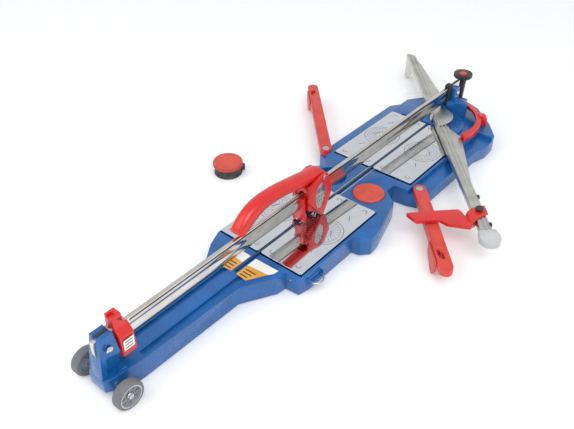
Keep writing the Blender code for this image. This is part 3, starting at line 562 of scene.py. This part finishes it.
class CUTTER_OT_table(bpy.types.Operator):
    """Build the four sprung plates, their engraved marks, their rods and their springs"""

    bl_idname = "cutter.table"
    bl_label = "Table"

    def execute(self, context):
        for end in ("front", "rear"):
            for side, sign in (("near", -1), ("far", 1)):
                body = f"plate_{end}_{side}"
                node = f"table_plate_{end}_{side}"
                rounded(node, "Plate_" + end + "_" + side, 0.5 * MM)
                low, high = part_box(node)
                middle = (low + high) / 2
                etched = bmesh.new()
                for cx in (low.x + 0.022, high.x - 0.022):
                    for cy in (low.y + 0.024, high.y - 0.024):
                        outward = math.degrees(math.atan2(cy - middle.y, cx - middle.x))
                        hook = arc(cx, cy, 7 * MM, outward - 110, outward + 110)
                        stroke(etched, hook, 1.8 * MM, TOP, TOP + ENGRAVED)
                for k in range(3):
                    x, y = low.x + 0.085 + 0.085 * k, middle.y + sign * 0.034
                    stroke(etched, [(x, y), (x + 0.020, y - sign * 0.012)], 2.0 * MM, TOP, TOP + ENGRAVED)
                cx, cy = middle.x + 0.006, middle.y + sign * 0.004
                reach = EMBLEM_RADIUS
                for r, width in ((reach, 1.5), (reach * 0.84, 0.9), (reach * 0.36, 0.9)):
                    stroke(etched, arc(cx, cy, r, 0, 358, 72), width * MM, TOP, TOP + ENGRAVED)
                settle(f"Plate_{end}_{side}_marks", etched, "etched", body)
                grown(
                    TREES["circle"],
                    {
                        "Count": 24, "Radius": reach * 0.60, "From": 0.0, "Sweep": 2 * math.pi * 23 / 24,
                        "Size": (reach * 0.42, 1.0 * MM, 0.08 * MM),
                    },
                    f"Plate_{end}_{side}_rays", "etched", body, Matrix.Translation((cx, cy, TOP)),
                )
                self.spring(end, side)
        for side in ("near", "far"):
            rounded(f"plate_rod_{side}", f"Hinge_rod_{side}", 0.3 * MM)
        return {"FINISHED"}

    def spring(self, end, side):
        """One coil spring under its plate."""
        node = f"plate_spring_{end}_{side}"
        low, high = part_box(node)
        wire = 1.1 * MM
        radius = (high.x - low.x) / 2 - wire
        centre = ((low.x + high.x) / 2, (low.y + high.y) / 2, low.z + wire)
        values = {"Radius": radius, "Wire": wire, "Height": high.z - low.z - 2 * wire, "Turns": 4.5}
        place = Matrix.Translation(centre)
        coil = grown(TREES["coil"], values, f"Spring_{end}_{side}", "steel", "root", place)
        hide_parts(node)
        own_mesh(coil)


class CUTTER_OT_towers(bpy.types.Operator):
    """Build the two towers, the red stop block, the rubber buffer and their bolts"""

    bl_idname = "cutter.towers"
    bl_label = "Towers"

    def execute(self, context):
        sizes = context.scene.cutter_sizes
        rounded("front_tower", "Front_tower", sizes.casting_round, 3)
        rounded("rear_tower", "Rear_tower", sizes.casting_round, 3)
        rounded("front_stop_block", "Front_stop_block", 1.4 * MM, 3)
        rounded("rear_bumper", "Rear_bumper", 0.8 * MM)
        for end in ("front", "rear"):
            rounded(f"{end}_tower_bolt", f"{end.title()}_tower_bolt", 0.4 * MM)
        low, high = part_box("front_tower")
        # A black block fills the slot between the tower's cheeks above the rail.
        slot_fill = bmesh.new()
        slab(slot_fill, rectangle(low.x + 0.019, -0.0046, high.x - 0.008, 0.0046), 0.1604, high.z + 0.6 * MM)
        settle("Front_tower_slot_fill", slot_fill, "black_plastic", "root")
        low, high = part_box("front_stop_block")
        label, ink = bmesh.new(), bmesh.new()
        skin = facing((low.x + high.x) / 2, -0.0300, 0.118, (0, -0.998, -0.05))
        slab(label, rectangle(-0.014, -0.020, 0.014, 0.020), 0.0005, 0.0008, skin)
        for k in range(4):
            y = -0.014 + 0.009 * k
            stroke(ink, [(-0.010, y), (0.010, y)], 3 * MM, 0.0008, 0.0009, skin)
        settle("Stop_label", label, "label_white", "root")
        settle("Stop_label_bars", ink, "label_ink", "root")
        return {"FINISHED"}


class CUTTER_OT_rail(bpy.types.Operator):
    """Build the ground guide rail and the black lines painted along its faces as dark reflections"""

    bl_idname = "cutter.rail"
    bl_label = "Rail"

    def execute(self, context):
        rounded("guide_rail", "Guide_rail", 0.8 * MM)
        low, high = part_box("guide_rail")
        # Black strips on each face of the chrome rail are painted dark reflections: a wide one below the top edge
        # and a thin one near the bottom.
        for side, y in (("near", low.y), ("far", high.y)):
            strip = bmesh.new()
            for z, half in ((high.z - 6 * MM, 2.6 * MM), (low.z + 5 * MM, 0.8 * MM)):
                outline = rectangle(-0.85, -half, 0.53, half)
                place = Matrix.Translation((0, y, z)) @ Matrix.Rotation(math.pi / 2, 4, "X")
                slab(strip, outline, -0.05 * MM, 0.05 * MM, place)
            settle(f"Rail_painted_dark_reflections_{side}", strip, "black_plastic", "root")
        return {"FINISHED"}


class CUTTER_OT_carriage(bpy.types.Operator):
    """Build the carriage, its ribbed covers, its rollers, the scoring wheel and the lever"""

    bl_idname = "cutter.carriage"
    bl_label = "Carriage"

    def execute(self, context):
        rounded("carriage_body", "Carriage", 1.2 * MM, 3)
        rounded("breaking_foot", "Breaking_foot", 0.8 * MM)
        rounded("handle", "Lever", 0.8 * MM, 2, limit=55)
        rounded("handle_pin", "Lever_pin", 0.4 * MM)
        rounded("score_wheel", "Score_wheel", 0.15 * MM)
        rounded("score_wheel_holder", "Score_wheel_holder", 0.4 * MM)
        for end in ("front", "rear"):
            rounded(f"top_roller_{end}", f"Top_roller_{end}", 0.5 * MM)
        for side, sign in (("near", -1), ("far", 1)):
            node = f"carriage_spring_cover_{side}"
            rounded(node, f"Oval_cover_{side}", 0.8 * MM, 3, "rail_steel")
            low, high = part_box(node)
            face = high.y if sign > 0 else low.y
            centre, height = (low.x + high.x) / 2, high.z - low.z
            # The ribs are given the dark etched finish as painted shade: the dark lines along the chrome cover's
            # ridges.
            for k, wide in enumerate((0.45, 0.72, 0.86, 0.72, 0.45)):
                z = low.z + height * (0.18 + 0.16 * k)
                values = {
                    "Count": 2 + 2 * (2 - abs(k - 2)), "Size": (1.6 * MM, 0.8 * MM, 8 * MM),
                    "Start": (centre - (high.x - low.x) * wide / 2 + 0.002, face, z),
                }
                gap = ((high.x - low.x) * wide - 0.004) / (values["Count"] - 1)
                values["Step"] = (gap, 0, 0)
                grown(TREES["row"], values, f"Cover_ribs_{side}_{k}", "etched", "carriage")
        return {"FINISHED"}


class CUTTER_OT_wheels(bpy.types.Operator):
    """Build the two transport wheels with their rims, hub nuts and axle"""

    bl_idname = "cutter.wheels"
    bl_label = "Wheels"

    def execute(self, context):
        rounded("front_axle", "Front_axle", 0.5 * MM)
        low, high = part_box("wheel_tyre_near")
        centre = ((low.x + high.x) / 2, (low.z + high.z) / 2)
        for side, sign in (("near", -1), ("far", 1)):
            rounded(f"wheel_tyre_{side}", f"Tyre_{side}", 1.6 * MM, 4)
            rounded(f"wheel_rim_{side}", f"Rim_{side}", 0.4 * MM)
            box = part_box(f"wheel_rim_{side}")
            face = box[1].y if sign > 0 else box[0].y
            place = facing(centre[0], face, centre[1], (0, sign, 0))
            ring = bmesh.new()
            edge = [(0.0262, -0.4 * MM), (0.0290, -0.4 * MM), (0.0290, 0.7 * MM)]
            edge += [(0.0276, 1.0 * MM), (0.0262, 0.7 * MM)]
            turned(ring, edge, 64, place)
            settle(f"Rim_ring_{side}", ring, "steel", f"wheel_{side}")
            grown(
                TREES["circle"],
                {"Count": 8, "Radius": 0.0180, "From": 0.0, "Sweep": 2 * math.pi * 7 / 8,
                 "Size": (11 * MM, 2.2 * MM, 2.4 * MM)},
                f"Rim_spokes_{side}", "grey_rim", f"wheel_{side}",
                place @ Matrix.Translation((0, 0, -3.4 * MM)),
            )
            nut = bmesh.new()
            tip = 0.0838 - abs(face)
            slab(nut, arc(0, 0, 7.2 * MM, 0, 300, 5), -3 * MM, tip, place)
            settle(f"Hub_nut_{side}", nut, "steel", f"wheel_{side}")
        rounded("wire_loop", "Wire_loop", 0.4 * MM)
        return {"FINISHED"}


class CUTTER_OT_fence(bpy.types.Operator):
    """Build the fence bar, its scale, its clips, the angle arc and the sliding stop"""

    bl_idname = "cutter.fence"
    bl_label = "Fence"

    def execute(self, context):
        for node, name, width in (
            ("fence_bar", "Fence_bar", 0.5), ("fence_plate", "Fence_plate", 0.6),
            ("fence_end_tip", "Fence_end_tip", 1.2), ("fence_pivot_bolt", "Fence_pivot_bolt", 0.5),
            ("angle_ring", "Angle_arc", 1.4), ("ring_clamp", "Arc_clamp", 1.2),
            ("tile_stop", "Tile_stop", 1.0), ("stop_knob", "Stop_knob", 0.6),
        ):
            rounded(node, name, width * MM)
        place = fence_place()
        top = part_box("fence_bar")[1].z
        for name, start, step, count, depth in (
            ("fine", -0.590, 0.010, 102, 2.6), ("coarse", -0.590, 0.050, 21, 4.2),
        ):
            grown(
                TREES["row"],
                {
                    "Count": count, "Start": (start, -0.0079 - depth * MM / 2, top), "Step": (step, 0, 0),
                    "Size": (0.8 * MM, depth * MM, 0.12 * MM),
                },
                f"Fence_scale_{name}", "label_ink", "fence", place,
            )
        clips = bmesh.new()
        for u in (-0.596, -0.470, 0.105):
            slab(clips, rectangle(u, -0.040, u + 0.010, -0.033), 0.078, top + 1.4 * MM, place)
        settle("Fence_clips", clips, "black_plastic", "fence")
        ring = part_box("angle_ring")
        turn = fence_angle() - math.radians(60)
        grown(
            TREES["circle"],
            {
                "Count": 45, "Radius": 0.1580, "From": turn, "Sweep": math.radians(88),
                "Size": (4 * MM, 0.6 * MM, 0.1 * MM),
            },
            "Arc_scale", "label_ink", "fence",
            Matrix.Translation((*JOINTS["fence_swing"]["pos_m"][:2], ring[1].z)),
        )
        return {"FINISHED"}


class CUTTER_OT_arms(bpy.types.Operator):
    """Build the two support arms with their slots, feet and pivot bolts"""

    bl_idname = "cutter.arms"
    bl_label = "Arms"

    def execute(self, context):
        for side, end in ARM_ENDS.items():
            pivot = Vector(JOINTS[f"arm_{side}_swing"]["pos_m"][:2])
            along = Vector(end) - pivot
            length, turn = along.length, math.atan2(along.y, along.x)
            place = Matrix.Translation((*pivot, 0)) @ Matrix.Rotation(turn, 4, "Z")
            slot = bmesh.new()
            middle = length - 0.040
            outline = arc(middle + 0.010, 0, 4.5 * MM, -90, 90, 8)
            outline += arc(middle - 0.010, 0, 4.5 * MM, 90, 270, 8)
            slab(slot, outline, 0.03, 0.09, place)
            rounded(f"arm_{side}", f"Arm_{side}", 1.2 * MM, 3, cut=slot)
            rounded(f"arm_foot_{side}", f"Arm_foot_{side}", 0.8 * MM)
            rounded(f"arm_bolt_{side}", f"Arm_bolt_{side}", 0.5 * MM)
            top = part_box(f"arm_{side}")[1].z
            ribs = bmesh.new()
            for v in (-0.0135, 0.0135):
                rib = [(0.040, v), (length - 0.075, v)]
                stroke(ribs, rib, 2.0 * MM, top - 0.2 * MM, top + 0.9 * MM, place)
            settle(f"Arm_ribs_{side}", ribs, "arm_red", f"arm_{side}")
        return {"FINISHED"}


class CUTTER_OT_boxes(bpy.types.Operator):
    """Build the two round storage boxes with their ribbed rims, and the loose box's clip"""

    bl_idname = "cutter.boxes"
    bl_label = "Storage boxes"

    def execute(self, context):
        for name in ("seated", "loose"):
            rounded(f"{name}_box_body", f"{name.title()}_box", 0.5 * MM)
            rounded(f"{name}_box_lid", f"{name.title()}_lid", 0.5 * MM)
            low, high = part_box(f"{name}_box_lid")
            centre = ((low.x + high.x) / 2, (low.y + high.y) / 2)
            radius = (high.x - low.x) / 2
            grown(
                TREES["circle"],
                {
                    "Count": 90, "Radius": radius, "From": 0.0, "Sweep": 2 * math.pi * 89 / 90,
                    "Size": (1.0 * MM, 1.2 * MM, (high.z - low.z) * 0.62),
                },
                f"{name.title()}_lid_ribs", "red_lid", f"{name}_lid",
                Matrix.Translation((*centre, low.z + (high.z - low.z) * 0.46)),
            )
        low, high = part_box("loose_box_body")
        clip = bmesh.new()
        centre = ((low.x + high.x) / 2, (low.y + high.y) / 2, 0)
        place = Matrix.Translation(centre) @ Matrix.Rotation(-0.75, 4, "Z")
        outline = [(0.038, -0.009), (0.052, -0.008), (0.054, -0.004)]
        outline += [(0.054, 0.004), (0.052, 0.008), (0.038, 0.009)]
        slab(clip, outline, 0.010, 0.026, place)
        settle("Loose_box_clip", clip, "black_plastic", "loose_box")
        return {"FINISHED"}


class CUTTER_OT_knob(bpy.types.Operator):
    """Build the clamp screw, its lobed knob and its cap"""

    bl_idname = "cutter.knob"
    bl_label = "Clamp knob"

    def execute(self, context):
        rounded("clamp_screw", "Clamp_screw", 0.4 * MM)
        rounded("clamp_knob", "Clamp_knob", 1.4 * MM, 3)
        rounded("knob_cap", "Knob_cap", 0.5 * MM)
        return {"FINISHED"}


class CUTTER_OT_stage(bpy.types.Operator):
    """Set the floor, the light and the camera"""

    bl_idname = "cutter.stage"
    bl_label = "Stage"

    def execute(self, context):
        floor = bpy.data.objects.new("Studio_floor", bpy.data.meshes.new("Studio_floor"))
        bm = bmesh.new()
        bmesh.ops.create_grid(bm, x_segments=2, y_segments=2, size=40)
        bm.to_mesh(floor.data)
        bm.free()
        floor.location.z = -0.0002
        floor.data.materials.append(
            surface("Studio_Paper", (linear("#FBFBFB"), linear("#FCFCFC")), (0.9, 0.95), 5.0, 0.0)
        )
        context.scene.collection.objects.link(floor)
        world = bpy.data.worlds.new("Studio_World")
        world.use_nodes = True
        world.node_tree.nodes["Background"].inputs["Color"].default_value = (*linear("#F6F8FA"), 1)
        world.node_tree.nodes["Background"].inputs["Strength"].default_value = 0.85
        context.scene.world = world
        for name, place, aim, size, power in (
            ("Key_light", (-1.6, -2.2, 3.2), (0, 0, 0), 2.6, 75),
            ("Fill_light", (-2.8, 1.4, 2.6), (0, 0, 0), 2.6, 34),
        ):
            light = bpy.data.lights.new(name, "AREA")
            light.size = size
            light.energy = power
            lamp = bpy.data.objects.new(name, light)
            lamp.location = place
            lamp.rotation_euler = (Vector(aim) - Vector(place)).to_track_quat("-Z", "Y").to_euler()
            context.scene.collection.objects.link(lamp)
        context.scene.view_settings.view_transform = "Standard"
        lens = bpy.data.cameras.new("Camera")
        lens.lens = 42.10
        lens.sensor_width = 36
        lens.clip_start = 0.05
        eye = bpy.data.objects.new("Camera", lens)
        eye.location = (-1.4023, -0.9094, 1.2182)
        yaw, pitch = math.radians(50.10), math.radians(37.77)
        look = Vector(
            (math.sin(yaw) * math.cos(pitch), math.cos(yaw) * math.cos(pitch), -math.sin(pitch))
        )
        eye.rotation_euler = look.to_track_quat("-Z", "Y").to_euler()
        context.scene.collection.objects.link(eye)
        context.scene.camera = eye
        return {"FINISHED"}


PIECES = (
    CUTTER_OT_base, CUTTER_OT_table, CUTTER_OT_towers, CUTTER_OT_rail, CUTTER_OT_carriage,
    CUTTER_OT_wheels, CUTTER_OT_fence, CUTTER_OT_arms, CUTTER_OT_boxes, CUTTER_OT_knob,
    CUTTER_OT_stage,
)


class CUTTER_PT_panel(bpy.types.Panel):
    """Lists the cutter's pieces and what may be changed about them"""

    bl_idname = "CUTTER_PT_panel"
    bl_label = "Tile Cutter"
    bl_space_type = "VIEW_3D"
    bl_region_type = "UI"
    bl_category = "Tile Cutter"

    def draw(self, context):
        for group in (context.scene.cutter_colours, context.scene.cutter_sizes):
            for key in group.__annotations__:
                self.layout.prop(group, key)
        for operator in PIECES:
            self.layout.operator(operator.bl_idname)


CLASSES = (CutterColours, CutterSizes, *PIECES, CUTTER_PT_panel)


def register():
    for item in CLASSES:
        bpy.utils.register_class(item)
    bpy.types.Scene.cutter_colours = bpy.props.PointerProperty(type=CutterColours)
    bpy.types.Scene.cutter_sizes = bpy.props.PointerProperty(type=CutterSizes)


def unregister():
    del bpy.types.Scene.cutter_sizes
    del bpy.types.Scene.cutter_colours
    for item in reversed(CLASSES):
        bpy.utils.unregister_class(item)


def main():
    register()
    FINISH.update(make_finishes())
    TREES.update(coil=coil_tree(), row=row_tree(), circle=circle_tree())
    for operator in PIECES:
        getattr(bpy.ops.cutter, operator.bl_idname.split(".")[1])()


if __name__ == "__main__":
    main()
